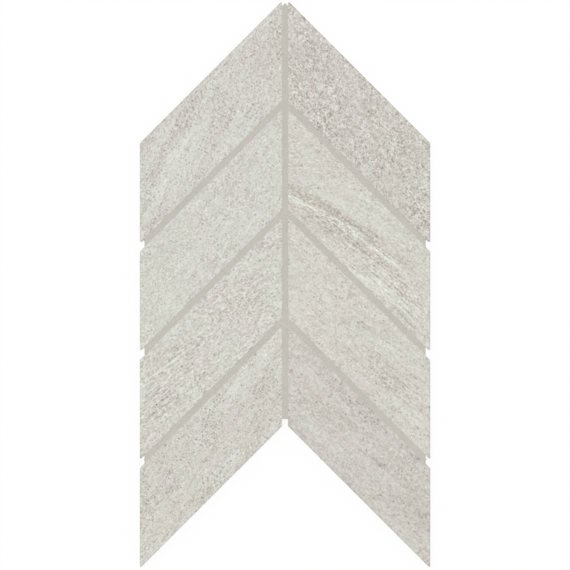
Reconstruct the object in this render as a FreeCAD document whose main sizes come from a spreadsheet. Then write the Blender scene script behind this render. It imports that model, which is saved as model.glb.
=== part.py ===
import FreeCAD, Part
import os
import Sketcher

# Chevron mosaic sheet: eight porcelain chips, four on each side of an upright joint,
# with the joints between them filled, all held together by a glass-fibre net on the back.
# Millimetres. The sheet lies face up: +X to the right, +Y towards the chevron's point, and
# the origin is under the middle of the whole outline, on the underside of the net.

document = FreeCAD.newDocument("ChevronSheet")
sheet = document.addObject("Spreadsheet::Sheet", "Sizes")

# Sizes that can be set by themselves.
sizes = {
    "chip_rows": 4,
    "chip_width": 77.6,
    "chip_side": 54.6,
    "chip_thickness": 9.0,
    "mitre_angle": 45,
    "joint_width": 3.2,
    "arris": 0.25,
    "face_tip_radius": 0.25,
    "key_width": 5.0,
    "key_depth": 0.5,
    "key_pitch": 10.0,
    "joint_recess": 0.3,
    "joint_dish": 0.15,
    "joint_side_setback": 2.5,
    "joint_foot_setback": 3.8,
    "joint_head_setback": 2.8,
    "net_thickness": 0.5,
    "net_pitch": 8.0,
    "net_tail": 1.5,
    "net_edge_setback": 4.0,
    "net_side_setback": 2.6,
    "strand_width": 0.9,
}

# Sizes that follow from those above. A drop is measured along Y, and a reach along X.
worked_out = {
    "slope": "tan(mitre_angle * 1 deg)",
    "chip_rise": "chip_width * slope",
    "joint_drop": "joint_width / cos(mitre_angle * 1 deg)",
    "row_pitch": "chip_side + joint_drop",
    "stack_drop": "chip_rows * chip_side + (chip_rows - 1) * joint_drop",
    "sheet_length": "stack_drop + chip_rise",
    "sheet_half_width": "chip_width + joint_width / 2",
    "tip_radius": "arris + face_tip_radius",
    "key_drop": "key_width / cos(mitre_angle * 1 deg)",
    "key_step": "key_pitch / cos(mitre_angle * 1 deg)",
    "key_count": "max(1; floor(chip_side / key_step))",
    "arm_reach": "sheet_half_width - joint_side_setback",
    "arm_start": "chip_side - joint_width / 2 * slope + joint_drop / 2",
    "arm_length": "(arm_reach + joint_width) / cos(mitre_angle * 1 deg)",
    "spine_peak": "joint_head_setback - joint_width / 2 * slope",
    "spine_foot": "stack_drop - joint_foot_setback",
    "dish_radius": "(joint_width * joint_width / 4 + joint_dish * joint_dish) / (2 * joint_dish)",
    "joint_height": "chip_thickness - joint_recess",
    "net_columns": "floor((sheet_half_width - net_side_setback - strand_width / 2) / net_pitch + 0.5)",
    "net_reach": "(net_columns - 0.5) * net_pitch + strand_width / 2",
    "net_row_step": "net_pitch * slope",
    "net_room": "stack_drop - 2 * net_edge_setback / cos(mitre_angle * 1 deg) - 2 * net_tail",
    "net_squares": "floor(net_room / net_row_step)",
    "net_drop": "net_squares * net_row_step + 2 * net_tail",
    "net_rows": "net_squares + net_columns",
}

LEFT, RIGHT = -1, 1
SIDE_NAMES = {LEFT: "left", RIGHT: "right"}
ORIGIN = (-1, 1)
SAME_PLACE = 0.001


def fill_sheet():
    """Write every size into the sheet, one row each, with its name as the alias."""
    contents = {name: str(number) for name, number in sizes.items()}
    contents.update({name: "=" + formula for name, formula in worked_out.items()})
    for row, (name, content) in enumerate(contents.items(), start=1):
        sheet.set(f"A{row}", name)
        sheet.set(f"B{row}", content)
        sheet.setAlias(f"B{row}", name)
    document.recompute()


def size(name):
    """The number that the sheet holds under a name."""
    return float(sheet.get(name))


def new_body(label):
    """An empty body whose label becomes the name of its file."""
    body = document.addObject("PartDesign::Body", label)
    body.Label = label
    return body


def origin_feature(body, role):
    """One of the body's own origin planes or axes."""
    return next(item for item in body.Origin.OriginFeatures if item.Role == role)


def new_sketch(body, name, plane="XY_Plane"):
    """An empty sketch on one of the body's origin planes."""
    sketch = body.newObject("Sketcher::SketchObject", name)
    sketch.AttachmentSupport = (origin_feature(body, plane), "")
    sketch.MapMode = "FlatFace"
    return sketch


def add_loop(sketch, corners):
    """Draw a closed loop of straight lines, and return its corners as sketch points."""
    first = sketch.GeometryCount
    count = len(corners)
    for number in range(count):
        start = FreeCAD.Vector(*corners[number], 0)
        end = FreeCAD.Vector(*corners[(number + 1) % count], 0)
        sketch.addGeometry(Part.LineSegment(start, end), False)
    for number in range(count):
        following = first + (number + 1) % count
        sketch.addConstraint(Sketcher.Constraint("Coincident", first + number, 2, following, 1))
    return [(first + number, 1) for number in range(count)]


def dimension(sketch, axis, start, end, formula):
    """Bind the distance between two sketch points, along X or Y, to a formula of the sheet."""
    places = [getattr(sketch.getPoint(*point), axis.lower()) for point in (start, end)]
    if places[0] > places[1]:
        start, end = end, start
    distance = abs(places[1] - places[0])
    constraint = Sketcher.Constraint(f"Distance{axis}", *start, *end, distance)
    sketch.setExpression(f"Constraints[{sketch.addConstraint(constraint)}]", formula)


def centre_pair(sketch, left, right):
    """Hold two points as mirror images across the sketch's upright axis, its geometry -2."""
    sketch.addConstraint(Sketcher.Constraint("Symmetric", *left, *right, -2))


def centre_point(sketch, point):
    """Hold a point on the sketch's upright axis."""
    sketch.addConstraint(Sketcher.Constraint("PointOnObject", *point, -2))


def add_pad(body, sketch, name, formula):
    """Raise a sketch by a height from the sheet."""
    pad = body.newObject("PartDesign::Pad", name)
    pad.Profile = sketch
    pad.setExpression("Length", formula)
    document.recompute()
    return pad


def add_pocket(body, sketch, name, formula, reverse=False):
    """Cut a sketch into the body, and make sure that the cut took something away."""
    volume_before = body.Shape.Volume
    pocket = body.newObject("PartDesign::Pocket", name)
    pocket.Profile = sketch
    pocket.Reversed = reverse
    pocket.setExpression("Length", formula)
    document.recompute()
    if body.Shape.Volume > volume_before - SAME_PLACE:
        raise ValueError(f"{name} cuts nothing from {body.Label}")
    return pocket


def add_row(body, features, name, axis, backwards, step, count):
    """Repeat features along one of the body's axes, a step apart."""
    pattern = body.newObject("PartDesign::LinearPattern", name)
    pattern.Originals = features
    pattern.Direction = (origin_feature(body, axis), [""])
    pattern.Reversed = backwards
    pattern.Mode = "Spacing"
    pattern.setExpression("Offset", step)
    pattern.setExpression("Occurrences", count)
    body.Tip = pattern
    document.recompute()
    return pattern


def add_edge_feature(body, kind, name, edges, formula):
    """Round or bevel chosen edges of the body so far; kind is Fillet or Chamfer."""
    so_far = body.Tip
    feature = body.newObject(f"PartDesign::{kind}", name)
    feature.Base = (so_far, edges)
    feature.setExpression("Radius" if kind == "Fillet" else "Size", formula)
    document.recompute()
    return feature


def edges_where(shape, wanted):
    """The names of the edges for which a test is true."""
    return [f"Edge{number}" for number, edge in enumerate(shape.Edges, start=1) if wanted(edge)]


def is_upright(edge):
    """True for a straight edge that runs along Z."""
    start, end = edge.Vertexes[0].Point, edge.Vertexes[-1].Point
    return abs(start.x - end.x) + abs(start.y - end.y) < SAME_PLACE


def draw_slanted(sketch, side, width, drop, rise):
    """A parallelogram round the sketch's origin: upright sides, with the inner one higher."""
    inner, outer = -side * size(width) / 2, side * size(width) / 2
    half_drop, half_rise = size(drop) / 2, size(rise) / 2
    inner_top, inner_foot, outer_foot, outer_top = add_loop(sketch, [
        (inner, half_rise + half_drop),
        (inner, half_rise - half_drop),
        (outer, -half_rise - half_drop),
        (outer, -half_rise + half_drop),
    ])
    sketch.addConstraint(Sketcher.Constraint("Symmetric", *inner_top, *outer_foot, *ORIGIN))
    sketch.addConstraint(Sketcher.Constraint("Symmetric", *inner_foot, *outer_top, *ORIGIN))
    sketch.addConstraint(Sketcher.Constraint("Vertical", inner_top[0]))
    dimension(sketch, "X", inner_top, outer_top, f"Sizes.{width}")
    dimension(sketch, "Y", inner_foot, inner_top, f"Sizes.{drop}")
    dimension(sketch, "Y", outer_top, inner_top, f"Sizes.{rise}")


def make_chip(side, row):
    """One sawn chip, with eased face edges, blunted tips and the keying grooves of its back."""
    body = new_body(f"{SIDE_NAMES[side]}_tile_{row + 1}")

    outline = new_sketch(body, "ChipOutline")
    draw_slanted(outline, side, "chip_width", "chip_side", "chip_rise")
    blank = add_pad(body, outline, "ChipBlank", "Sizes.chip_thickness")

    # The two sharp tips are the corners that lie farthest from the middle of the chip.
    upright = [edge for edge in blank.Shape.Edges if is_upright(edge)]
    farthest = max(edge.CenterOfMass.Length for edge in upright)
    tips = edges_where(blank.Shape, lambda edge: is_upright(edge)
                       and edge.CenterOfMass.Length > farthest - SAME_PLACE)
    blunted = add_edge_feature(body, "Fillet", "BluntTips", tips, "Sizes.tip_radius")

    face = blunted.Shape.BoundBox.ZMax
    rim = edges_where(blunted.Shape, lambda edge: edge.BoundBox.ZMin > face - SAME_PLACE)
    add_edge_feature(body, "Chamfer", "EasedFaceEdge", rim, "Sizes.arris")

    groove = new_sketch(body, "KeyGroove")
    draw_slanted(groove, side, "chip_width", "key_drop", "chip_rise")
    groove.setExpression(".AttachmentOffset.Base.y",
                         "(Sizes.key_count - 1) / 2 * Sizes.key_step")
    keying = add_pocket(body, groove, "KeyCut", "Sizes.key_depth", reverse=True)
    add_row(body, [keying], "KeyCuts", "Y_Axis", True, "Sizes.key_step", "Sizes.key_count")

    body.setExpression(".Placement.Base.x", f"{side} * (Sizes.joint_width + Sizes.chip_width) / 2")
    body.setExpression(".Placement.Base.y", "(Sizes.sheet_length - Sizes.chip_side - "
                       f"Sizes.chip_rise) / 2 - {row} * Sizes.row_pitch")
    body.setExpression(".Placement.Base.z", "Sizes.net_thickness")
    return body


def draw_spine(sketch):
    """The upright joint seen from the face: a flat foot, and a head like a small gable."""
    half_width = size("joint_width") / 2
    shoulder, peak, foot = (-size(name) for name in ("joint_head_setback", "spine_peak",
                                                     "spine_foot"))
    left_foot, right_foot, right_shoulder, top, left_shoulder = add_loop(sketch, [
        (-half_width, foot),
        (half_width, foot),
        (half_width, shoulder),
        (0, peak),
        (-half_width, shoulder),
    ])
    centre_pair(sketch, left_foot, right_foot)
    centre_pair(sketch, left_shoulder, right_shoulder)
    sketch.addConstraint(Sketcher.Constraint("Vertical", right_foot[0]))
    centre_point(sketch, top)
    dimension(sketch, "X", left_foot, right_foot, "Sizes.joint_width")
    dimension(sketch, "Y", left_foot, ORIGIN, "Sizes.spine_foot")
    dimension(sketch, "Y", left_shoulder, ORIGIN, "Sizes.joint_head_setback")
    dimension(sketch, "Y", top, ORIGIN, "Sizes.spine_peak")


def draw_arms(sketch):
    """The first pair of slanted joints: an arrow that ends in upright cuts near the sides."""
    reach, drop = size("arm_reach"), size("joint_drop")
    apex = size("joint_width") / 2 * size("slope") - size("chip_side")
    end = apex - reach * size("slope")
    left_foot, low_apex, right_foot, right_top, high_apex, left_top = add_loop(sketch, [
        (-reach, end - drop),
        (0, apex - drop),
        (reach, end - drop),
        (reach, end),
        (0, apex),
        (-reach, end),
    ])
    centre_pair(sketch, left_foot, right_foot)
    centre_pair(sketch, left_top, right_top)
    centre_point(sketch, low_apex)
    centre_point(sketch, high_apex)
    sketch.addConstraint(Sketcher.Constraint("Vertical", left_top[0]))
    dimension(sketch, "X", left_foot, right_foot, "2 * Sizes.arm_reach")
    dimension(sketch, "Y", left_foot, left_top, "Sizes.joint_drop")
    dimension(sketch, "Y", low_apex, high_apex, "Sizes.joint_drop")
    dimension(sketch, "Y", left_top, high_apex, "Sizes.arm_reach * Sizes.slope")
    dimension(sketch, "Y", high_apex, ORIGIN,
              "Sizes.chip_side - Sizes.joint_width / 2 * Sizes.slope")


def draw_dish(sketch):
    """The section of the tooled hollow: a shallow arc closed by a chord at the joint's edges."""
    half_width, height = size("joint_width") / 2, size("joint_height")
    left, right = (FreeCAD.Vector(side * half_width, height, 0) for side in (LEFT, RIGHT))
    bottom = FreeCAD.Vector(0, height - size("joint_dish"), 0)
    arc = sketch.addGeometry(Part.Arc(left, bottom, right), False)
    chord = sketch.addGeometry(Part.LineSegment(left, right), False)
    ends = sorted(((arc, 1), (arc, 2)), key=lambda point: sketch.getPoint(*point).x)
    sketch.addConstraint(Sketcher.Constraint("Coincident", *ends[0], chord, 1))
    sketch.addConstraint(Sketcher.Constraint("Coincident", *ends[1], chord, 2))
    centre_pair(sketch, (chord, 1), (chord, 2))
    radius = sketch.addConstraint(Sketcher.Constraint("Radius", arc, size("dish_radius")))
    sketch.setExpression(f"Constraints[{radius}]", "Sizes.dish_radius")
    dimension(sketch, "X", (chord, 1), (chord, 2), "Sizes.joint_width")
    dimension(sketch, "Y", ORIGIN, (chord, 1), "Sizes.joint_height")


def make_joint_filling():
    """The filling of all joints as one piece, measured down from the two topmost tips."""
    body = new_body("joint_grout")

    spine = new_sketch(body, "SpineOutline")
    draw_spine(spine)
    add_pad(body, spine, "Spine", "Sizes.joint_height")

    arrow = new_sketch(body, "ArmsOutline")
    draw_arms(arrow)
    arms = add_pad(body, arrow, "Arms", "Sizes.joint_height")
    add_row(body, [arms], "ArmRows", "Y_Axis", True, "Sizes.row_pitch", "Sizes.chip_rows - 1")

    # Where a chip's blunted upper tip sits between the spine and an arm, the filling is as round.
    tips = [-row * size("row_pitch") for row in range(1, int(size("chip_rows")))]
    half_width = size("joint_width") / 2

    def holds_a_tip(edge):
        middle = edge.CenterOfMass
        beside_spine = abs(abs(middle.x) - half_width) < SAME_PLACE
        return is_upright(edge) and beside_spine and any(abs(middle.y - tip) < SAME_PLACE
                                                         for tip in tips)

    seats = edges_where(body.Shape, holds_a_tip)
    add_edge_feature(body, "Fillet", "TipSeats", seats, "Sizes.tip_radius")

    hollow = new_sketch(body, "SpineHollow", "XZ_Plane")
    draw_dish(hollow)
    add_pocket(body, hollow, "SpineDish", "Sizes.stack_drop", reverse=True)

    dishes = []
    for side in (LEFT, RIGHT):
        turn = FreeCAD.Rotation(FreeCAD.Vector(0, 1, 0), side * size("mitre_angle"))
        hollow = new_sketch(body, f"{SIDE_NAMES[side].title()}ArmHollow", "XZ_Plane")
        hollow.AttachmentOffset = FreeCAD.Placement(FreeCAD.Vector(), turn)
        hollow.setExpression(".AttachmentOffset.Rotation.Angle", f"{side} * Sizes.mitre_angle")
        hollow.setExpression(".AttachmentOffset.Base.z", "Sizes.arm_start")
        draw_dish(hollow)
        dishes.append(add_pocket(body, hollow, f"{SIDE_NAMES[side].title()}ArmDish",
                                 "Sizes.arm_length", reverse=True))
    add_row(body, dishes, "ArmDishRows", "Y_Axis", True, "Sizes.row_pitch",
            "Sizes.chip_rows - 1")

    body.setExpression(".Placement.Base.y", "Sizes.sheet_length / 2")
    body.setExpression(".Placement.Base.z", "Sizes.net_thickness")
    return body


def make_net(side):
    """Half of the backing net: a flat outline with the mesh openings cut out, then raised."""
    reach, drop = side * size("net_reach"), size("net_drop")
    fall = size("net_reach") * size("slope")
    corners = [(0, drop / 2), (0, -drop / 2), (reach, -drop / 2 - fall), (reach, drop / 2 - fall)]
    wire = Part.makePolygon([FreeCAD.Vector(x, y, 0) for x, y in corners + corners[:1]])

    # Each opening lies between two strands both ways; the outline cuts the outermost ones.
    step, row_step, strand = size("net_pitch"), size("net_row_step"), size("strand_width")
    width, depth = step - strand, row_step - strand
    first_row = drop / 2 - size("net_tail") - row_step / 2
    openings = []
    for column in range(int(size("net_columns"))):
        for row in range(int(size("net_rows")) + 1):
            corner = FreeCAD.Vector(side * column * step - width / 2,
                                    first_row - row * row_step + strand / 2, 0)
            openings.append(Part.makePlane(width, depth, corner))
    strands = Part.Face(wire).cut(openings)

    net = document.addObject("Part::Feature", f"backing_net_{SIDE_NAMES[side]}")
    net.Shape = strands.Faces[0].extrude(FreeCAD.Vector(0, 0, size("net_thickness")))
    net.Placement.Base.y = (size("sheet_length") - size("stack_drop")
                            + size("joint_width") * size("slope")) / 2
    return net


fill_sheet()
pieces = [make_chip(side, row) for side in (LEFT, RIGHT) for row in range(int(size("chip_rows")))]
pieces.append(make_joint_filling())
pieces += [make_net(side) for side in (LEFT, RIGHT)]
document.recompute()

for item in document.Objects:
    if "Invalid" in item.State or "Error" in item.State:
        raise ValueError(f"{item.Label} did not compute: {item.State}")
for piece in pieces:
    if piece.Shape.isNull() or not piece.Shape.isValid() or len(piece.Shape.Solids) != 1:
        raise ValueError(f"{piece.Label} is not one valid solid")

os.makedirs("parts", exist_ok=True)
for piece in pieces:
    piece.Shape.exportStep(f"parts/{piece.Label}.step")
    print(piece.Label, round(piece.Shape.Volume, 1), piece.Shape.BoundBox)
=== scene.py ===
import math

import bpy
from mathutils import Matrix, Vector


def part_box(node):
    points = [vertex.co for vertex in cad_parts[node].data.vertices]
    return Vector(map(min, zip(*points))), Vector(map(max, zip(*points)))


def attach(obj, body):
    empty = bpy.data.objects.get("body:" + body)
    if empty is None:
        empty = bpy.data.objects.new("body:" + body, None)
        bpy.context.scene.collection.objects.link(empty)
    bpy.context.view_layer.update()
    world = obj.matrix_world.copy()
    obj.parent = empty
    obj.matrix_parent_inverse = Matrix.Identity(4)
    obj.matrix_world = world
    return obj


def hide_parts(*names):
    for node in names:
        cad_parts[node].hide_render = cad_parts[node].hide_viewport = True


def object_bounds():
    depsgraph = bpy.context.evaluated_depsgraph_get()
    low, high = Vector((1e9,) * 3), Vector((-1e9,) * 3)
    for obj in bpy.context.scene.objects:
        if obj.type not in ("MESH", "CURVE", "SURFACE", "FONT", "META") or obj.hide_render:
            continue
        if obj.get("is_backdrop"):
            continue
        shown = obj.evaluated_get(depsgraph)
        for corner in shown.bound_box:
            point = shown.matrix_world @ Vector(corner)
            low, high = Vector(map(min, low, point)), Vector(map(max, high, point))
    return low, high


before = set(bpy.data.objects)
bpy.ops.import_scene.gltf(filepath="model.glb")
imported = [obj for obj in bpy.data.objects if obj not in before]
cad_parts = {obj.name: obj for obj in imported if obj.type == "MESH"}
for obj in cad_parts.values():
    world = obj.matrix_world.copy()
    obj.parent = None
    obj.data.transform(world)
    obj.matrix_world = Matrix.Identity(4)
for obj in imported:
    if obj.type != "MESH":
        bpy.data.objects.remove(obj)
cad_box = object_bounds()

# Chevron mosaic sheet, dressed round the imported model: the sawn stone-look chips get a pressed
# face and eased edges, the joints a sandy filling, and the back its woven net.
# Metres, unless a name says millimetres. Colours are sRGB levels from 0 to 255.

MM = 0.001
SAME_PLACE = 2e-6

# Each half of the face is divided twice over: 61 strips, each halved.
FACE_CUTS = (60, 1)
TIP_CUTS = (-1, 0, 1)

# Depth of the face's relief, by the size of what is pressed into it.
HOLLOW_DEPTH = 0.10 * MM
STREAK_DEPTH = 0.05 * MM
GRAIN_DEPTH = 0.05 * MM
ARRIS_WANDER = 0.16 * MM

# The joint filling's top is divided this finely for the sand that stands in it.
SAND_PITCH = 0.7 * MM
SAND_DEPTH = 0.10 * MM

# The net's threads, as (width, height). Two warp threads and a weft fill its thickness.
THREAD_SIDES = 6
THREAD_STEPS = 6
WEFT_SIZE = (0.80 * MM, 0.14 * MM)
WARP_SIZE = (0.40 * MM, 0.17 * MM)
WARP_SWAY = 0.22 * MM
NET_STRAY = 0.5 * MM
NET_STRAY_SIZE = 22

# How far the wefts' cut ends stand out past the last warp on each side.
NET_TAIL = 0.8 * MM

# A noise texture varies about one half; this brings its spread to about one.
NOISE_SPREAD = 9.0

# The photographed sheet: real size of one of its pixels, and where its middle lies.
PHOTO_SIDE = 570
PHOTO_PIXEL = 0.5454 * MM
PHOTO_MIDDLE = (285.1, 284.6)

CAMERA_HEIGHT = 3.0
SENSOR = 36.0
SKY_LEVEL = 0.78
SUN_LEVEL = 0.22
SUN_TILT = (-15, -4)
FLOOR_SIDE = 12.0
FLOOR_WHITE_SHARE = 0.92
FLOOR_LEVEL = 0.8


def linear(colour):
    """An sRGB colour, 0 to 255, as the linear colour that a socket takes."""
    shares = [level / 255 for level in colour]
    return tuple(((share + 0.055) / 1.055) ** 2.4 for share in shares) + (1.0,)


class Value:
    """A number at a socket, so that the maths on it can be written as an expression."""

    def __init__(self, nodes, socket):
        self.nodes = nodes
        self.socket = socket

    def math(self, operation, *others):
        sockets = dict(enumerate((self, *others)))
        return self.nodes.add("ShaderNodeMath", {"operation": operation}, sockets)

    def other(self, name):
        """Another output of the node that this one comes from."""
        return Value(self.nodes, self.socket.node.outputs[name])

    def rise(self, low, high, top=1.0):
        """Nought at one number and a top at another, with a smooth step between them."""
        sockets = {"Value": self, "From Min": low, "From Max": high, "To Max": top}
        return self.nodes.add("ShaderNodeMapRange", {"interpolation_type": "SMOOTHSTEP"}, sockets)

    def __add__(self, other):
        return self.math("ADD", other)

    def __sub__(self, other):
        return self.math("SUBTRACT", other)

    def __mul__(self, other):
        return self.math("MULTIPLY", other)

    def __rsub__(self, other):
        return (self * -1.0) + other

    __radd__ = __add__
    __rmul__ = __mul__


class Nodes:
    """The node tree of a material or of the world, as it is written."""

    def __init__(self, tree):
        self.tree = tree
        tree.nodes.clear()

    def add(self, kind, settings=None, sockets=None, output=0):
        """Add a node: its settings first, then the values or links of its sockets."""
        node = self.tree.nodes.new(kind)
        for name, setting in (settings or {}).items():
            setattr(node, name, setting)
        for name, value in (sockets or {}).items():
            if isinstance(value, Value):
                self.tree.links.new(value.socket, node.inputs[name])
            else:
                node.inputs[name].default_value = value
        return Value(self, node.outputs[output]) if len(node.outputs) else None

    def mix(self, share, first, second, blend="MIX"):
        """Two colours mixed, by the share of the second."""
        settings = {"data_type": "RGBA", "blend_type": blend}
        return self.add("ShaderNodeMix", settings, {0: share, 6: first, 7: second}, output=2)

    def scaled(self, colour, level):
        """A colour made lighter or darker as a whole."""
        sockets = {0: colour if isinstance(colour, Value) else colour[:3], "Scale": level}
        return self.add("ShaderNodeVectorMath", {"operation": "SCALE"}, sockets)

    def object_place(self, middle=(0, 0, 0), turn=0.0):
        """Where a point lies on the object: millimetres from a middle, turned by an angle."""
        point = self.add("ShaderNodeTexCoord", output="Object")
        sockets = {"Vector": point, "Location": middle, "Rotation": (0, 0, turn), "Scale": (MM,) * 3}
        return self.add("ShaderNodeMapping", {"vector_type": "TEXTURE"}, sockets)

    def noise(self, place, length, width, seed, detail=2.0, roughness=0.5):
        """Noise about nought, its blobs of a length and a width in millimetres."""
        sockets = {"Vector": place, "Location": (seed * 7.31, seed * 3.17, seed * 1.73),
                   "Scale": (1 / length, 1 / width, 1 / width)}
        stretched = self.add("ShaderNodeMapping", sockets=sockets)
        sockets = {"Vector": stretched, "Scale": 1.0, "Detail": detail, "Roughness": roughness}
        return (self.add("ShaderNodeTexNoise", sockets=sockets) - 0.5) * NOISE_SPREAD


def new_material(name):
    """An empty material and its node tree."""
    material = bpy.data.materials.new(name)
    material.use_nodes = True
    return material, Nodes(material.node_tree)


def close_material(nodes, colour, roughness, height, height_step, sockets=None):
    """Give a tree its shader, with a bump from a height between nought and one."""
    bump = nodes.add("ShaderNodeBump", None, {"Height": height, "Distance": height_step})
    shader = nodes.add("ShaderNodeBsdfPrincipled", None, {
        "Base Color": colour, "Roughness": roughness, "Normal": bump, **(sockets or {})})
    nodes.add("ShaderNodeOutputMaterial", None, {"Surface": shader})


def choose(piece, kind, wanted):
    """Open a piece for editing, with only those vertices or faces selected that pass a test."""
    bpy.ops.object.mode_set(mode="OBJECT")
    bpy.ops.object.select_all(action="DESELECT")
    piece.select_set(True)
    bpy.context.view_layer.objects.active = piece
    bpy.ops.object.mode_set(mode="EDIT")
    bpy.ops.mesh.select_mode(type=kind)
    bpy.ops.mesh.select_all(action="DESELECT")
    bpy.ops.object.mode_set(mode="OBJECT")
    for item in piece.data.polygons if kind == "FACE" else piece.data.vertices:
        item.select = wanted(item)
    bpy.ops.object.mode_set(mode="EDIT")


def close_edit():
    bpy.ops.object.mode_set(mode="OBJECT")


def slanted_block(name, middle, size, slope):
    """A block whose upright ends are slid along Y until its long sides have a slope."""
    bpy.ops.object.select_all(action="DESELECT")
    bpy.ops.mesh.primitive_cube_add(size=1, location=middle, scale=size)
    bpy.ops.object.transform_apply()
    block = bpy.context.object
    block.name = name
    for end in (-1, 1):
        choose(block, "FACE", lambda face: face.normal.x * end > 0.9)
        bpy.ops.transform.translate(value=(0, -end * slope * size[0] / 2, 0))
        close_edit()
    return block


def carve(piece, cutter):
    """Take one block out of a piece."""
    bpy.context.view_layer.objects.active = piece
    cut = piece.modifiers.new("Cut", "BOOLEAN")
    cut.operation = "DIFFERENCE"
    cut.solver = "EXACT"
    cut.object = cutter
    bpy.ops.object.modifier_apply(modifier=cut.name)
    bpy.data.objects.remove(cutter)


def corner_heights(node):
    """The heights of a chip's corners: back, floor of the keys, foot of the arris and face."""
    return sorted({round(vertex.co.z, 5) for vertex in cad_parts[node].data.vertices})


def corners_along(node, axis, fixed):
    """The places of a piece's corners along one axis, where its other coordinates are fixed."""
    found = {round(vertex.co[axis], 6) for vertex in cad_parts[node].data.vertices
             if all(abs(vertex.co[other] - place) < SAME_PLACE for other, place in fixed.items())}
    return sorted(found)


def model_blank(node):
    """A chip of the right-hand column: sawn block, keyed back, fine face and blunted tips."""
    low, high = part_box(node)
    inner, outer = low.x, high.x
    back, key_floor, *_, face = corner_heights(node)
    inner_keys, outer_keys = (corners_along(node, 1, {0: x, 2: key_floor}) for x in (inner, outer))
    rise = inner_keys[0] - outer_keys[0]
    width = outer - inner
    slope = rise / width
    inner_side, outer_side = (corners_along(node, 1, {0: x, 2: back}) for x in (inner, outer))
    foot, top = inner_side[0], outer_side[-1]
    drop = top - (foot - rise)

    middle = Vector(((inner + outer) / 2, (foot + top) / 2, (back + face) / 2))
    blank = slanted_block("chip_blank", middle, (width, drop, face - back), slope)
    for start, end in zip(inner_keys[::2], inner_keys[1::2]):
        key_middle = (middle.x, (start + end) / 2 - rise / 2, back)
        key_size = (width * 1.1, end - start, 2 * (key_floor - back))
        carve(blank, slanted_block("key_cutter", key_middle, key_size, slope))

    choose(blank, "FACE", lambda polygon: polygon.normal.z > 0.9)
    bpy.ops.mesh.bisect(plane_co=middle, plane_no=(1, 0, 0))
    choose(blank, "FACE", lambda polygon: polygon.normal.z > 0.9)
    for cuts in FACE_CUTS:
        bpy.ops.mesh.subdivide(number_cuts=cuts)

    # The two sharp tips end in the arc that the CAD chip has there, in three flats.
    half_corner = (math.pi / 2 - math.atan(slope)) / 2
    tangent = (foot + drop) - inner_side[-1]
    radius = tangent * math.tan(half_corner)
    flat_turn = (math.pi - 2 * half_corner) / (len(TIP_CUTS) + 1)
    for side, tip in ((-1, (inner, foot + drop, 0)), (1, (outer, foot - rise, 0))):
        out = Vector((side * math.sin(half_corner), -side * math.cos(half_corner), 0))
        arc_middle = Vector(tip) - out * radius / math.sin(half_corner)
        for cut in TIP_CUTS:
            turned = Matrix.Rotation(cut * flat_turn, 3, "Z") @ out
            bpy.ops.mesh.select_all(action="SELECT")
            bpy.ops.mesh.bisect(plane_co=arc_middle + turned * radius * math.cos(flat_turn / 2),
                                plane_no=turned, use_fill=True, clear_outer=True)

    choose(blank, "FACE", lambda polygon: polygon.normal.z > 0.9)
    bpy.ops.object.vertex_group_add()
    blank.vertex_groups.active.name = "face"
    bpy.ops.object.vertex_group_assign()
    bpy.ops.mesh.region_to_loop()
    bpy.ops.object.vertex_group_remove_from()
    bpy.ops.object.vertex_group_add()
    blank.vertex_groups.active.name = "rim"
    bpy.ops.object.vertex_group_assign()
    close_edit()
    return blank


def pattern_space(middle, turn, length, width):
    """An empty that lays a pattern out over a piece; it is removed once the relief is pressed."""
    bpy.ops.object.empty_add(location=middle, rotation=(0, 0, turn))
    space = bpy.context.object
    space.scale = (length * MM, width * MM, width * MM)
    return space


def press(piece, group, depth, texture=None, space=None):
    """Lower a group of vertices by up to a depth, as a texture laid out in a space says."""
    relief = piece.modifiers.new("Relief", "DISPLACE")
    relief.direction = "Z"
    relief.vertex_group = group
    relief.strength = depth if texture else -depth
    relief.mid_level = 1.0 if texture else 0.0
    relief.texture = texture
    if texture:
        relief.texture_coords = "OBJECT"
        relief.texture_coords_object = space
    bpy.context.view_layer.objects.active = piece
    bpy.ops.object.modifier_apply(modifier=relief.name)


def relief_texture(name, detail, contrast):
    """A cloudy texture for pressing relief."""
    texture = bpy.data.textures.new(name, "CLOUDS")
    texture.noise_scale = 1.0
    texture.noise_depth = detail
    texture.contrast = contrast
    return texture


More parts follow.
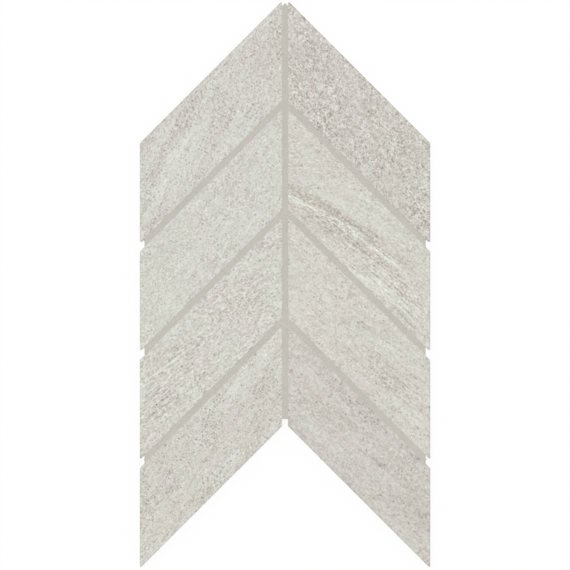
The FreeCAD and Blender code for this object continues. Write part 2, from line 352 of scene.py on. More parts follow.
def make_chip(blank, node, number, look):
    """A finished chip: the blank copied to its place, its face pressed and its edges eased."""
    low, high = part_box(node)
    blank_low, blank_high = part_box(BLANK_NODE)
    side = 1 if low.x > 0 else -1
    _, _, arris_foot, *_, face = corner_heights(node)

    bpy.ops.object.select_all(action="DESELECT")
    blank.select_set(True)
    bpy.context.view_layer.objects.active = blank
    bpy.ops.object.duplicate()
    chip = bpy.context.object
    chip.name = node.replace("tile", "chip")
    choose(chip, "FACE", lambda polygon: True)
    bpy.ops.transform.translate(value=(0, low.y - blank_low.y, 0))
    bpy.ops.transform.resize(value=(side, 1, 1), center_override=(0, 0, 0))
    bpy.ops.mesh.normals_make_consistent(inside=False)
    close_edit()

    middle = (low + high) / 2
    middle.z = face
    turn = math.radians(look["lean"])
    start = middle + Vector((1, 1, 0)) * number
    clouds = relief_texture("Soft hollows", 2, 1.2)
    grit = relief_texture("Grit", 3, 1.6)
    hollows = pattern_space(start, turn, 16, 9)
    streaks = pattern_space(start, turn, 14, 1.5)
    grain = pattern_space(start, turn, 1.4, 1.0)
    rim_wander = pattern_space(start, 0, 1.6, 1.6)
    press(chip, "face", HOLLOW_DEPTH, clouds, hollows)
    press(chip, "face", STREAK_DEPTH, clouds, streaks)
    press(chip, "face", GRAIN_DEPTH, grit, grain)
    press(chip, "rim", face - arris_foot)
    press(chip, "rim", ARRIS_WANDER, grit, rim_wander)
    for space in (hollows, streaks, grain, rim_wander):
        bpy.data.objects.remove(space)
    for texture in (clouds, grit):
        bpy.data.textures.remove(texture)
    bpy.ops.object.select_all(action="DESELECT")
    chip.select_set(True)
    bpy.context.view_layer.objects.active = chip
    bpy.ops.object.shade_smooth_by_angle(angle=math.radians(40))
    chip.vertex_groups.clear()
    chip.data.materials.clear()
    chip.data.materials.append(porcelain(node, middle, number, look))
    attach(chip, "root")
    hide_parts(node)
    return chip


# How each chip looks. tone is its mean colour, lean the angle of its streaks in degrees, and bow
# how they curve; strengths are shares of its brightness. The rest is laid out along and across
# the streaks from the chip's middle, as (along, across, length, width, strength) in millimetres:
# its bands and shades, lighter or darker; its hues, olive or mauve; and where threads and pits are.
PLAIN = dict(lean=45, bow=0.0, mottle=0.012, patches=0.022, streaks=0.024, threads=0.015,
             threads_at=(), blotches=0.05, grain=0.08, calm=0.15, stretch=1.3, flecks=0.16,
             glints=0.05, pits=0.12, pit_painted_shade=0.4, pits_at=(), lively_at=(), shades=(), hues=(),
             bands=())
LOOKS = {
    "left_tile_1": dict(
        PLAIN, tone=(207.9, 206.0, 198.5), lean=64, patches=0.026, streaks=0.034, blotches=0.056,
        grain=0.084,
        flecks=0.17, pits=0.24, pit_painted_shade=0.42,
        pits_at=((-5, 14, 22, 6, 0.4), (-38, 16, 10, 4, 0.3), (15, -18, 14, 5, 0.3),
                 (20, 6, 22, 10, 0.2)),
        shades=((-32, 7, 26, 9, 0.085), (-28, 21, 14, 4, 0.05), (4, -15, 14, 6, 0.075),
                (14, 10, 5, 4, 0.03), (22, -5, 5, 9, 0.03), (28, -17, 6, 5, 0.04),
                (-18, -12, 6, 3, 0.04), (-38, 16, 7, 3, -0.07), (-26, 16.5, 5, 2, -0.06),
                (-6, 15, 16, 4, -0.06), (50, -7, 16, 12, -0.06), (18, 2, 6, 3, -0.05),
                (10, -8, 7, 2, -0.04), (32, 6, 8, 4, -0.04), (-60, 3, 9, 7, -0.07),
                (-22, -6, 18, 4, -0.04), (2, 6, 8, 3, -0.03)),
        hues=((-38, 16, 10, 3, 1.0), (-8, 15, 7, 4, -1.0),
              (-26, 16, 4, 2, -1.2), (18, 3, 6, 3, -1.0), (45, -10, 10, 12, -0.9),
              (-14, -2, 4, 3, -1.0), (9, -20, 5, 4, 0.9), (40, 4, 10, 4, 0.7))),
    "left_tile_2": dict(
        PLAIN, tone=(209.0, 208.3, 200.0), lean=52, mottle=0.006, patches=0.013, streaks=0.012,
        threads=0.01, blotches=0.052, grain=0.088, flecks=0.13, pits=0.08,
        shades=((-48, 3, 8, 14, 0.015), (-30, 12, 9, 9, -0.025), (-18, -2, 12, 8, 0.015),
                (0, 6, 8, 4, -0.035), (25, 5, 8, 7, -0.025), (42, 9, 5, 4, -0.05),
                (22, -6, 7, 3, -0.03), (-12, -9, 7, 4, -0.03), (3, -4, 6, 2, -0.03),
                (-40, -9, 6, 3, -0.05), (5, 17, 12, 4, 0.03), (12, -13, 16, 4, 0.02)),
        hues=((-43, 0, 12, 18, 0.8), (-30, 12, 8, 9, 0.6), (-13, 14, 8, 5, 0.6),
              (0, 6, 8, 4, -0.8), (27, 6, 10, 8, -1.0), (22, -6, 7, 4, -0.8),
              (-12, -9, 8, 5, -0.8), (3, -4, 7, 3, -0.7), (17, 8, 4, 3, 0.7))),
    "left_tile_3": dict(
        PLAIN, tone=(208.3, 206.6, 197.9), lean=36, mottle=0.008, patches=0.018, streaks=0.018,
        threads=0.065, threads_at=((-40, -12, 20, 9, 1.3), (-26, -3, 26, 10, 0.5)), blotches=0.06, grain=0.106, stretch=1.5,
        flecks=0.18, pits=0.14, pits_at=((22, 4, 28, 18, 0.2), (-28, -6, 24, 14, 0.15)),
        shades=((-26, 8, 12, 5, -0.04), (-15, 13, 9, 5, 0.05), (0, 9, 8, 6, 0.05),
                (0, -14, 8, 4, 0.025), (-26, -15, 9, 3, 0.05), (-26, -9, 15, 3, -0.04),
                (14, -9, 9, 4, -0.03), (32, -10, 6, 3, -0.04), (46, 0, 10, 14, 0.05),
                (38, 20, 16, 4, 0.06), (-8, 2, 3, 1.5, -0.1), (8, -2, 14, 4, -0.02),
                (22, 6, 8, 6, -0.03), (-8, 0.5, 6, 3, 0.05),
                (26, -10, 6, 3, 0.03)),
        hues=((-25, 9, 14, 7, 0.5), (0, -13, 8, 5, 1.0), (-5, -4, 5, 3, -1.0),
              (15, 17, 7, 5, -1.0), (35, 15, 6, 5, -1.0), (22, -9, 6, 4, -0.9),
              (2, 8, 8, 6, 0.7), (-32, -17, 14, 4, 0.8), (16, 1, 5, 4, 0.7),
              (38, 0, 8, 8, 0.5)),
        bands=((-28, 2.2, 21, 0.6, 0.2), (-24, 3.3, 14.7, 0.6, -0.1),
               (-39, -11.5, 7, 0.7, -0.26), (-47, -14.6, 8, 0.8, -0.28), (-38, -13.2, 12, 0.8, 0.1),
               (-43, -17.2, 10, 0.8, -0.14), (-44, -8.4, 7, 0.6, -0.13))),
    "left_tile_4": dict(
        PLAIN, tone=(206.6, 204.5, 195.9), lean=56, patches=0.026, streaks=0.034, blotches=0.064, grain=0.094,
        flecks=0.18, pits=0.08, pit_painted_shade=0.52,
        pits_at=((6, 8, 14, 6, 1.0), (22, 13, 9, 4, 0.4), (-28, 9, 11, 4, 0.3),
                 (-38, 13, 9, 5, 0.4), (40, -8, 6, 5, 0.4), (-8, -14, 14, 3, 0.3)),
        shades=((36, 6, 14, 6, 0.1), (55, 3, 10, 7, 0.05), (10, -2, 13, 6, 0.035),
                (3, -15, 8, 3, 0.08), (-35, 0, 10, 2, 0.03), (30, 1, 8, 4, 0.02),
                (-25, 14, 18, 6, -0.03), (-13, 11, 9, 2.5, -0.04), (25, -17, 6, 3, -0.07),
                (-20, -11, 9, 3, -0.08), (36, -8, 7, 4, -0.05), (-42, 10, 9, 6, -0.03),
                (-46, -5, 12, 4, -0.03), (10, -10, 8, 2.5, -0.04), (42, -7, 8, 4, -0.03)),
        hues=((-13, 11, 10, 3, 1.2), (25, -17, 7, 3, 1.3), (-22, -13, 10, 3, 1.0),
              (36, -8, 7, 4, 0.8), (-42, 10, 10, 6, 0.7), (10, -16, 14, 3, 0.8),
              (-8, -9, 8, 5, -1.1), (17, -1, 12, 3, -1.0), (-30, 9, 5, 3, -1.1),
              (40, 0, 7, 4, -0.9), (6, -12, 8, 3, -0.7))),
    "right_tile_1": dict(
        PLAIN, tone=(201.7, 198.3, 190.4), lean=-60, patches=0.028, streaks=0.03, threads=0.0,
        blotches=0.088, grain=0.142, calm=0.2, stretch=1.1, flecks=0.19, glints=0.12, pits=0.1,
        shades=((-46, 3, 10, 7, -0.03), (22, 4, 22, 6, 0.02), (40, 14, 16, 4, 0.05),
                (22, -10, 6, 4, 0.04), (-36, -18, 9, 6, -0.05), (-22, -4, 8, 4, -0.04),
                (-42, -10, 9, 4, -0.04), (58, 4, 7, 6, -0.04), (-20, 9, 6, 4, 0.03)),
        hues=((-45, 5, 14, 9, -0.6), (-22, -6, 16, 12, -0.6), (2, 4, 6, 5, -0.5),
              (16, -10, 7, 5, -0.6), (16, 8, 28, 9, 0.7), (-34, -18, 12, 6, 0.8),
              (-32, 0, 6, 5, 0.7), (46, 6, 16, 14, 0.9), (-10, -13, 6, 4, 0.7), (-10, 4, 14, 8, -0.4), (-19, -18, 5, 6, -1.0),
              (25, -5, 10, 4, 0.5))),
    "right_tile_2": dict(
        PLAIN, tone=(208.2, 206.3, 196.9), lean=-34.5, bow=0.0018, streaks=0.016, threads=0.075,
        threads_at=((-20, -8, 40, 6, 0.8), (20, -8, 24, 14, 1.0), (45, -14, 20, 10, 0.6),
                    (0, 1, 40, 4, 0.5)),
        lively_at=((-5, -3, 50, 2.6, 0.6), (28, -12, 36, 9, 0.4), (-10, -9, 30, 4, 0.15),
                   (-15, 11, 40, 7, -0.12)),
        blotches=0.055, grain=0.086, stretch=1.6, pits=0.04, pits_at=((-30, 1, 24, 4, 0.4),),
        shades=((-6, 14.5, 14, 5, 0.055), (-42, 18, 10, 6, 0.035), (8, 9, 9, 3.5, 0.055),
                (38, 9, 10, 5, 0.03), (50, -13, 12, 9, 0.05), (-20, 7, 14, 3, 0.04),
                (-12, -5.5, 16, 2.5, -0.04), (-9, 11.5, 3, 1.5, -0.05)),
        hues=((-38, 1.2, 18, 3.4, 0.5), (-8, 0.6, 14, 3, 0.3), (20, 1, 16, 3, -0.7),
              (16, -7, 14, 4, -0.9), (-20, 14, 20, 6, -0.2), (36, 6, 14, 12, 0.3),
              (-9, 11, 5, 2, -0.9), (5, 10, 10, 5, 0.2), (30, -19, 18, 4, -0.3)),
        bands=((-30, 1.1, 33.6, 3.8, -0.16), (12, 0.9, 24, 3.4, -0.14), (28, -0.6, 9, 2, -0.04), (-10, -0.8, 10, 1.4, -0.06),
               (-38, -3.5, 13, 1.3, 0.17), (-13, -2.1, 16, 0.45, 0.14), (-11, -4.1, 14, 0.45, 0.1),
               (18, -3.2, 21, 0.9, 0.24), (13, -7.2, 15, 3.2, -0.07),
               (-24, -7.6, 31.5, 5, -0.08), (10, -15.4, 9, 1, -0.05),
               (14, -20.4, 11.6, 1.5, 0.18), (30, -18.4, 18, 2.6, 0.17),
               (28, -15.4, 14.7, 1.3, 0.12), (28, -13.8, 12, 0.5, -0.1), (42, -17.4, 20, 0.6, -0.2), (24, -17.2, 9, 0.4, -0.16),
               (48, -20.9, 16, 0.8, -0.17), (-12, 6.8, 25.2, 3, 0.06))),
    "right_tile_3": dict(
        PLAIN, tone=(208.6, 206.4, 197.3), lean=-38, streaks=0.022, threads=0.045,
        threads_at=((30, -4, 30, 16, 1.0),), grain=0.078, stretch=1.4, flecks=0.14, pits=0.07,
        pits_at=((36, -17, 14, 4, 0.6), (-3, 7, 5, 3, 0.7), (-31, 4, 4, 3, 0.7)),
        shades=((27, -4, 24, 8, -0.07), (-36, 2, 12, 12, 0.035), (-48, 18, 9, 7, 0.05),
                (-6, 15, 9, 3, 0.045), (2, 5.5, 8, 3, 0.04), (22, 8, 7, 4, 0.02),
                (42, -15.5, 16, 4, 0.06), (-22, 18, 6, 4, 0.03), (32, 10, 9, 4, 0.04),
                (20, -15, 7, 3, 0.05), (-20, -5, 8, 4, 0.03), (4, -9, 8, 3, -0.03),
                (52, -12, 8, 4, -0.04)),
        hues=((28, -4, 26, 9, 0.1), (-34, 3, 10, 12, 0.3), (20, 10, 16, 6, 0.5),
              (17, -17, 8, 3, -0.8), (-20, -6, 20, 8, 0.1), (40, -14, 14, 3, 0.3)),
        bands=((19, -8.6, 17.9, 1.2, -0.07), (19, -3.6, 15.8, 1, -0.07),
               (31, -1.4, 15.8, 1, -0.08), (3, 8, 11.6, 0.8, -0.07), (26, -11, 8.4, 0.8, -0.08))),
    "right_tile_4": dict(
        PLAIN, tone=(201.9, 198.8, 191.1), lean=-40, mottle=0.01, streaks=0.03, threads=0.02,
        grain=0.076, stretch=1.4, flecks=0.14, pits=0.07, pit_painted_shade=0.46,
        pits_at=((-16, 16.5, 32, 4, 0.6), (30, 6, 10, 6, 0.35), (34, -10, 6, 6, 0.35)),
        shades=((-26, 4, 26, 3.5, -0.025), (-14, 17, 32, 3.5, -0.02), (45, -7, 13, 10, -0.07),
                (26, -14, 8, 4, -0.055), (14, -0.5, 6, 1.8, -0.06), (28, 2, 16, 4, -0.03),
                (-30, -8, 14, 5, 0.045), (-44, 11, 13, 6, 0.05), (-26, 13, 7, 4, 0.04),
                (3, -14, 9, 3.5, 0.045), (20, -6, 8, 3, -0.025), (-14, -9, 14, 4, 0.02)),
        hues=((-26, 4, 26, 6, 1.0), (46, -5, 12, 9, 1.1), (26, -14, 8, 4, 0.9),
              (20, 9, 20, 4, 0.6), (-42, 14, 8, 6, -1.0), (-20, 11, 6, 6, -0.6),
              (0, 5, 10, 5, -1.0), (18, 0, 14, 5, -1.2), (36, -12, 10, 6, -0.9),
              (-6, -13, 10, 3, -0.7), (12, -10, 10, 4, -0.5)),
        bands=((26, 15.5, 9, 0.9, -0.16), (13, 0.2, 7, 0.7, -0.12), (20, 2.4, 5, 0.6, -0.08), (-24, 16, 10.5, 1, -0.06))),
}
BLANK_NODE = "right_tile_1"

# Tints that the stone pattern leans to: zones where it is pale or dark, flecks that are paler or
# darker than the rest, and patches that are mauve or olive.
PALE_ZONE = (0.971, 1.001, 1.006, 1.0)
DARK_ZONE = (1.020, 0.997, 0.998, 1.0)
PALE_FLECK = (0.988, 1.0, 1.016, 1.0)
DARK_FLECK = (1.012, 1.0, 0.984, 1.0)
MAUVE = (1.014, 0.988, 1.003, 1.0)
OLIVE = (0.998, 1.001, 0.979, 1.0)
BODY_TONE = (203, 199, 189)
DECOR_DEPTHS = (0.3, 0.6)

# Painted shadow along the sheet's outline: how far in from it, in millimetres, its bare arrises are painted
# darker, and by what share.
OUTLINE_SHADOW_REACH = (0.8, 0.3)
OUTLINE_PAINTED_SHADOW = 0.07


def from_outline(nodes):
    """How far a point of the face lies in from the outline of the whole sheet, in millimetres."""
    corners = [vertex.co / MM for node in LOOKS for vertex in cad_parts[node].data.vertices]
    slants = [corner.y + abs(corner.x) for corner in corners]
    along_x = nodes.add("ShaderNodeSeparateXYZ", None, {0: nodes.object_place()}, "X")
    side = along_x.math("ABSOLUTE")
    slant = side + along_x.other("Y")
    slanted_gap = (max(slants) - slant).math("MINIMUM", slant - min(slants))
    return (cad_box[1].x / MM - side).math("MINIMUM", slanted_gap * math.sqrt(0.5))


def porcelain(node, middle, number, look):
    """Matt stone-look porcelain: a printed and pressed face over a plain body."""
    material, nodes = new_material(f"Stone-look porcelain {number + 1}")
    turned = nodes.object_place(middle, math.radians(look["lean"]))
    along = nodes.add("ShaderNodeSeparateXYZ", None, {0: turned}, "X")
    across = along.other("Y") + along * along * look["bow"]
    depth = along.other("Z") * -1.0
    place = nodes.add("ShaderNodeCombineXYZ", None, {"X": along, "Y": across, "Z": depth})

    def noise(length, width, layer, detail=2.0, roughness=0.5):
        return nodes.noise(place, length, width, number * 17 + layer, detail, roughness)

    # Areas and bands follow a wavering path, so that none is a plain oval or a ruled line.
    waver_along = along + noise(9, 6, 11) * 2.4
    waver_across = across + noise(12, 6, 12) * 0.9
    wavering = nodes.add("ShaderNodeCombineXYZ", None, {"X": waver_along, "Y": waver_across})
    line_across = across + noise(18, 9, 6) * 0.3
    line = nodes.add("ShaderNodeCombineXYZ", None, {"X": along, "Y": line_across})

    def areas(places, path=wavering):
        total = 0.0
        for along_at, across_at, length, width, strength in places:
            sockets = {"Vector": path, "Location": (along_at, across_at, 0), "Scale": (length, width, 1)}
            inside = nodes.add("ShaderNodeMapping", {"vector_type": "TEXTURE"}, sockets)
            away = nodes.add("ShaderNodeVectorMath", {"operation": "LENGTH"}, {0: inside}, "Value")
            total = away.rise(1.2, 0.4, strength) + total
        return total

    def dots(pitch, reach, crowd, layer):
        """Small round dots, at most one in each square of a pitch, each with its own strength."""
        shift = (number * 5.1 + layer, number * 3.7, 0.0)
        squares = {"Vector": place, "Location": shift, "Scale": (1 / pitch,) * 3}
        squares = nodes.add("ShaderNodeMapping", None, squares)
        settings = {"voronoi_dimensions": "2D"}
        cell = nodes.add("ShaderNodeTexVoronoi", settings, {"Vector": squares, "Scale": 1.0}, "Distance")
        chance = nodes.add("ShaderNodeSeparateColor", None, {0: cell.other("Color")})
        here = chance.math("LESS_THAN", crowd) * (0.4 + chance.other("Green") * 0.6)
        return cell.rise(reach / pitch, 0.2 * reach / pitch) * here

    # The drift of the stone: soft mottle, streaks and fine threads, then its own veins and areas.
    threads = noise(13, 0.9, 3) * (0.2 + areas(look["threads_at"]))
    drift = (noise(18, 11, 1) * look["mottle"] + noise(6, 4, 14) * look["patches"]
             + noise(34, 3.2, 2, 3.0) * look["streaks"] + threads * look["threads"])
    bands = areas(look["bands"], line) * (0.9 + noise(6, 1.0, 10) * 0.25)
    drift = drift + areas(look["shades"]) + bands

    # Its grain is stronger in the dark parts and fades in calm ones.
    grain = noise(0.9 * look["stretch"], 0.85, 5, 1.0, 0.5)
    blotches = noise(1.9 * look["stretch"], 1.7, 4)
    liveliness = 1.0 + noise(13, 8, 13) * look["calm"] - drift * 2.0 + areas(look["lively_at"])
    fine = (grain * look["grain"] + blotches * look["blotches"]) * liveliness
    fine = fine - dots(1.5, 0.6, 0.5, 1) * look["flecks"] + dots(1.7, 0.55, 0.4, 2) * look["glints"]

    # Pits: small holes, thick in some places and rare elsewhere; their darkness is partly dark specks of the
    # stone and partly painted shade in the holes.
    crowd = look["pits"] + noise(13, 9, 7) * look["pits"] * 0.5 + areas(look["pits_at"])
    pit = dots(1.8, 0.75, crowd, 3)
    # Painted shade: each pit darkens the colour, partly as the shade in a hole would.
    level = (1.0 + drift + fine) * (1.0 - pit * look["pit_painted_shade"])
    # Painted shadow: the face's colour is darkened along the outer arrises of the whole sheet.
    level = level * (1.0 - from_outline(nodes).rise(*OUTLINE_SHADOW_REACH) * OUTLINE_PAINTED_SHADOW)

    zone = nodes.mix(drift.rise(-0.12, 0.12), DARK_ZONE, PALE_ZONE)
    fleck = nodes.mix((fine - pit * 0.3).rise(-0.3, 0.3), DARK_FLECK, PALE_FLECK)
    olive = noise(16, 12, 15) * 0.3 + noise(6, 4, 16) * 0.3 + areas(look["hues"])
    colour = nodes.mix(1.0, nodes.mix(olive.rise(-1.3, 1.3), MAUVE, OLIVE), zone, "MULTIPLY")
    colour = nodes.mix(1.0, colour, fleck, "MULTIPLY")
    colour = nodes.mix(1.0, colour, linear(look["tone"]), "MULTIPLY")
    colour = nodes.scaled(colour, level)

    # Below the arris the sawn sides show the plain body.
    body_level = 1.0 + grain * 0.035 + noise(60, 0.5, 9) * 0.02
    body = nodes.scaled(linear(BODY_TONE), body_level)
    colour = nodes.mix(depth.rise(*DECOR_DEPTHS), colour, body)

    height = 0.5 + grain * 0.05 + blotches * 0.05 + threads * 0.03 - pit * 0.6
    roughness = 0.6 + grain * 0.02
    close_material(nodes, colour, roughness, height, 0.12 * MM)
    return material


GROUT_TONE = (194.9, 191.8, 182.8)


def grout():
    """Cement joint filling: even grey, with fine sand in it."""
    material, nodes = new_material("Sanded joint filling")
    place = nodes.object_place()
    patches = nodes.noise(place, 22, 22, 31)
    sand = nodes.noise(place, 0.5, 0.5, 32, 2.0, 0.7)
    lumps = nodes.noise(place, 2.2, 2.2, 33)
    level = 1.0 + patches * 0.010 + sand * 0.06 + lumps * 0.015
    tint = nodes.mix(patches.rise(-1.5, 1.5), (0.99, 1.0, 0.995, 1.0), (1.008, 0.998, 1.0, 1.0))
    colour = nodes.scaled(nodes.mix(1.0, tint, linear(GROUT_TONE), "MULTIPLY"), level)
    close_material(nodes, colour, 0.85 + sand * 0.02, 0.5 + sand * 0.1 + lumps * 0.1, 0.10 * MM)
    return material


NET_TONE = (232, 233, 229)


def glass_fibre():
    """White glass-fibre strand, stiffened with resin."""
    material, nodes = new_material("Glass-fibre net")
    place = nodes.object_place()
    fibres = nodes.noise(place, 0.12, 0.12, 41, 1.0)
    resin = nodes.noise(place, 6, 6, 42)
    level = 1.0 + fibres * 0.05 + resin * 0.02
    colour = nodes.scaled(linear(NET_TONE), level)
    close_material(nodes, colour, 0.5 + resin * 0.03, 0.5 + fibres * 0.1, 0.05 * MM)
    return material


def make_filling(node):
    """The joint filling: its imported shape, with the sandy relief of cement on its hollow top."""
    low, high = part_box(node)
    filling = bpy.data.objects.new("joint_filling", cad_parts[node].data.copy())
    bpy.context.scene.collection.objects.link(filling)
    choose(filling, "FACE", lambda face: True)
    bpy.ops.mesh.remove_doubles(threshold=SAME_PLACE)
    bpy.ops.mesh.dissolve_limited(angle_limit=math.radians(1))
    choose(filling, "FACE", lambda face: face.normal.z > 0.9)
    bpy.ops.mesh.hide(unselected=True)
    for axis in (0, 1):
        plane = Vector((0, 0, 0))
        plane[axis] = 1
        for step in range(1, int((high[axis] - low[axis]) / SAND_PITCH)):
            bpy.ops.mesh.select_all(action="SELECT")
            bpy.ops.mesh.bisect(plane_co=plane * (low[axis] + step * SAND_PITCH), plane_no=plane)
    bpy.ops.mesh.reveal(select=False)
    choose(filling, "FACE", lambda face: face.normal.z > 0.9)
    bpy.ops.object.vertex_group_add()
    filling.vertex_groups.active.name = "top"
    bpy.ops.object.vertex_group_assign()
    close_edit()
    sand = relief_texture("Sand", 2, 1.6)
    space = pattern_space((0, 0, high.z), 0, 1.7, 1.7)
    press(filling, "top", SAND_DEPTH, sand, space)
    bpy.data.objects.remove(space)
    bpy.data.textures.remove(sand)
    filling.vertex_groups.clear()
    filling.data.materials.clear()
    filling.data.materials.append(grout())
    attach(filling, "root")
    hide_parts(node)
    return filling


def sweep(name, turn, size, start, steps):
    """A thread: a ring pulled along step by step, each with a move and a swelling."""
    bpy.ops.object.select_all(action="DESELECT")
    bpy.ops.mesh.primitive_circle_add(vertices=THREAD_SIDES, radius=0.5, location=start, rotation=turn)
    thread = bpy.context.object
    thread.name = name
    thread.scale = (*size, 1)
    bpy.ops.object.transform_apply()
    bpy.ops.object.mode_set(mode="EDIT")
    bpy.ops.mesh.select_mode(type="EDGE")
    bpy.ops.mesh.select_all(action="SELECT")
    place = Vector(start)
    for move, swelling in steps:
        place += move
        bpy.ops.mesh.extrude_region_move(TRANSFORM_OT_translate={"value": move})
        bpy.ops.transform.resize(value=swelling, center_override=place)
    close_edit()
    return thread


def repeat(piece, count, step):
    """Copies of a piece in a row, joined where they meet."""
    row = piece.modifiers.new("Row", "ARRAY")
    row.use_relative_offset = False
    row.use_constant_offset = True
    row.constant_offset_displace = step
    row.count = count
    row.use_merge_vertices = True
    row.merge_threshold = SAME_PLACE
    bpy.context.view_layer.objects.active = piece
    bpy.ops.object.modifier_apply(modifier=row.name)


def model_weave(columns, rows):
    """A field of weave, from the first and last places of its columns and rows and their steps."""
    (left, right, column_step), (bottom, top, row_step) = columns, rows
    level = WEFT_SIZE[1] / 2 + WARP_SIZE[1]
    swell = Vector((1, 1.2, 1.4))
    shrink = Vector((1, 1 / swell.y, 1 / swell.z))
    half_step = Vector((column_step / 2, 0, 0))
    weft = sweep("weft", (math.pi / 2, 0, math.pi / 2), WEFT_SIZE, (left, bottom, level),
                 ((half_step, swell), (half_step, shrink)))
    repeat(weft, round((right - left) / column_step), (column_step, 0, 0))
    repeat(weft, round((top - bottom) / row_step) + 1, (0, row_step, 0))

    # A warp thread passes over a weft on one side of its partner, and over the next on the other.
    places = []
    for step in range(2 * THREAD_STEPS + 1):
        turn = math.pi * step / THREAD_STEPS
        rise = (WEFT_SIZE[1] + WARP_SIZE[1]) / 2 * math.cos(2 * turn)
        sway = WARP_SWAY * math.cos(turn)
        places.append(Vector((left + sway, bottom + step * row_step / THREAD_STEPS, level + rise)))
    steps = [(there - here, (1, 1, 1)) for here, there in zip(places, places[1:])]
    warp = sweep("warp", (math.pi / 2, 0, 0), WARP_SIZE, places[0], steps)
    repeat(warp, math.ceil((top - bottom) / row_step / 2), (0, 2 * row_step, 0))
    choose(warp, "VERT", lambda vertex: True)
    bpy.ops.mesh.duplicate()
    bpy.ops.transform.rotate(value=math.pi, orient_axis="Y", center_override=(left, 0, level))
    close_edit()
    repeat(warp, round((right - left) / column_step) + 1, (column_step, 0, 0))
    weft.select_set(True)
    bpy.context.view_layer.objects.active = warp
    bpy.ops.object.join()
    return warp


def make_net(nodes):
    """The woven net on the back, cut to the outline that its two imported halves have."""
    low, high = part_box(nodes[0])[0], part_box(nodes[1])[1]
    rows = corners_along(nodes[0], 1, {0: 0.0, 2: 0.0})
    columns = corners_along(nodes[1], 0, {1: rows[len(rows) // 2], 2: 0.0})
    row_step, column_step = rows[2] - rows[0], columns[3] - columns[1]
    row, column = (rows[0] + rows[1]) / 2, (columns[1] + columns[2]) / 2
    reach = column + math.ceil((high.x - column) / column_step) * column_step
    bottom = row - math.ceil((row - low.y) / row_step) * row_step
    top = row + math.ceil((high.y - row) / row_step) * row_step
    net = model_weave((-reach, reach, column_step), (bottom, top, row_step))

    stray = relief_texture("Stray", 1, 1.0)
    space = pattern_space((0, 0, 0), 0, NET_STRAY_SIZE, NET_STRAY_SIZE)
    for direction in "XY":
        shift = net.modifiers.new("Stray", "DISPLACE")
        shift.direction = direction
        shift.strength = NET_STRAY
        shift.texture = stray
        shift.texture_coords = "OBJECT"
        shift.texture_coords_object = space
        bpy.context.view_layer.objects.active = net
        bpy.ops.object.modifier_apply(modifier=shift.name)
        space.location.z += 0.05
        bpy.context.view_layer.update()
    bpy.data.objects.remove(space)
    bpy.data.textures.remove(stray)

    # The slanted ends of the outermost strand give the slope of the outline.
    corners = [vertex.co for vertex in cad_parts[nodes[1]].data.vertices]
    tops = [max(corner.y for corner in corners if abs(corner.x - side) < SAME_PLACE)
            for side in columns[-2:]]
    slope = (tops[0] - tops[1]) / (columns[-1] - columns[-2])
    ends = [corner.y + slope * corner.x for corner in corners]
    halves = []
    for side in (-1, 1):
        bpy.ops.object.select_all(action="DESELECT")
        net.select_set(True)
        bpy.context.view_layer.objects.active = net
        bpy.ops.object.duplicate()
        halves.append(bpy.context.object)
        choose(halves[-1], "VERT", lambda vertex: True)
        cuts = ((((high.x + NET_TAIL) * side, 0, 0), (side, 0, 0), True),
                ((0, max(ends), 0), (side * slope, 1, 0), True),
                ((0, min(ends), 0), (-side * slope, -1, 0), True),
                ((0, 0, 0), (-side, 0, 0), False))
        for place, outward, closed in cuts:
            bpy.ops.mesh.select_all(action="SELECT")
            bpy.ops.mesh.bisect(plane_co=place, plane_no=outward, use_fill=closed, clear_outer=True)
        close_edit()
    bpy.data.objects.remove(net)
    halves[0].select_set(True)
    bpy.ops.object.join()
    net = bpy.context.object
    net.name = "woven_net"
    choose(net, "VERT", lambda vertex: True)
    bpy.ops.mesh.remove_doubles(threshold=SAME_PLACE)
    bpy.ops.mesh.select_all(action="SELECT")
    bpy.ops.mesh.fill_holes(sides=THREAD_SIDES)
    bpy.ops.mesh.select_all(action="SELECT")
    bpy.ops.mesh.normals_make_consistent(inside=False)
    close_edit()
    bpy.ops.object.shade_smooth_by_angle(angle=math.radians(60))
    net.data.materials.clear()
    net.data.materials.append(glass_fibre())
    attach(net, "root")
    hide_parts(*nodes)
    return net


def make_floor():
    """A pale floor that reads white in the picture and still takes a soft shadow."""
    bpy.ops.mesh.primitive_plane_add(size=FLOOR_SIDE)
    floor = bpy.context.object
    floor.name = "floor"
    material, nodes = new_material("Floor")
    rays = nodes.add("ShaderNodeLightPath", output="Is Camera Ray")
    seen = rays.math("MAXIMUM", rays.other("Is Glossy Ray")).math("MAXIMUM",
                                                                 rays.other("Is Transmission Ray"))
    cloth = nodes.add("ShaderNodeBsdfDiffuse", None, {"Color": (FLOOR_LEVEL,) * 3 + (1.0,)})
    glow_level = (1.0 - (1.0 - FLOOR_WHITE_SHARE) * FLOOR_LEVEL) / FLOOR_WHITE_SHARE
    glow = nodes.add("ShaderNodeEmission", None, {"Color": (1, 1, 1, 1), "Strength": glow_level})
    shader = nodes.add("ShaderNodeMixShader", None, {0: seen * FLOOR_WHITE_SHARE, 1: cloth, 2: glow})
    nodes.add("ShaderNodeOutputMaterial", None, {"Surface": shader})
    floor.data.materials.append(material)
    floor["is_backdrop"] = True
    return floor


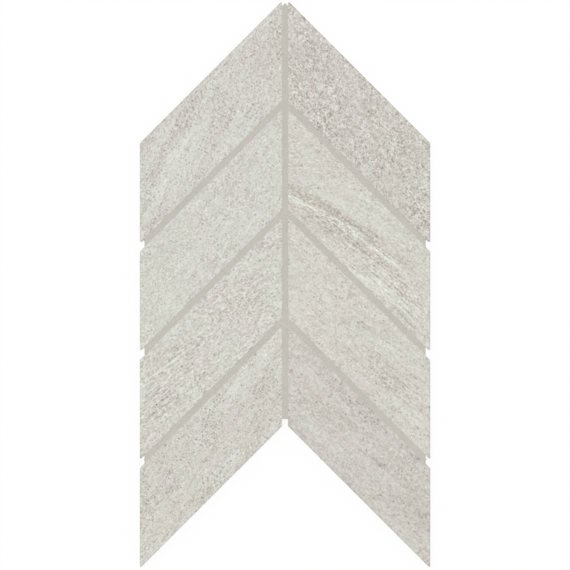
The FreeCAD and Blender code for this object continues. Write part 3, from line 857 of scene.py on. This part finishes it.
def light_studio():
    """Even white light from all round, and a wide soft lamp from the upper left."""
    world = bpy.data.worlds.new("Studio")
    bpy.context.scene.world = world
    world.use_nodes = True
    nodes = Nodes(world.node_tree)
    rays = nodes.add("ShaderNodeLightPath", output="Is Camera Ray")
    seen = rays.math("MAXIMUM", rays.other("Is Glossy Ray")).math("MAXIMUM",
                                                                 rays.other("Is Transmission Ray"))
    strength = SKY_LEVEL + seen * (1.0 - SKY_LEVEL)
    white = {"Color": (1, 1, 1, 1), "Strength": strength}
    sky = nodes.add("ShaderNodeBackground", None, white)
    nodes.add("ShaderNodeOutputWorld", None, {"Surface": sky})
    tilt_x, tilt_y = (math.radians(angle) for angle in SUN_TILT)
    bpy.ops.object.light_add(type="SUN", rotation=(tilt_x, tilt_y, 0))
    sun = bpy.context.object
    sun.name = "soft_lamp"
    sun.data.angle = math.radians(50)
    sun.data.energy = SUN_LEVEL * math.pi / (math.cos(tilt_x) * math.cos(tilt_y))


def set_camera():
    """A long lens straight above the sheet, at the scale of the photograph."""
    _, high = cad_box
    face = high.z
    view_side = PHOTO_SIDE * PHOTO_PIXEL
    shift_x = (PHOTO_SIDE / 2 - PHOTO_MIDDLE[0]) * PHOTO_PIXEL
    shift_y = (PHOTO_MIDDLE[1] - PHOTO_SIDE / 2) * PHOTO_PIXEL
    bpy.ops.object.camera_add(location=(shift_x, shift_y, CAMERA_HEIGHT))
    camera = bpy.context.object
    camera.rotation_euler = (0, 0, 0)
    camera.data.sensor_width = SENSOR
    camera.data.lens = SENSOR * (CAMERA_HEIGHT - face) / view_side
    camera.data.clip_end = 100
    bpy.context.scene.camera = camera


set_camera()
light_studio()
make_floor()
blank = model_blank(BLANK_NODE)
for number, (node, look) in enumerate(LOOKS.items()):
    make_chip(blank, node, number, look)
bpy.data.objects.remove(blank)
make_filling("joint_grout")
make_net(("backing_net_left", "backing_net_right"))
bpy.context.scene.view_settings.view_transform = "Standard"

boxes = {"cad": cad_box, "visual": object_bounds()}
{name: [list(corner) for corner in box] for name, box in boxes.items()}
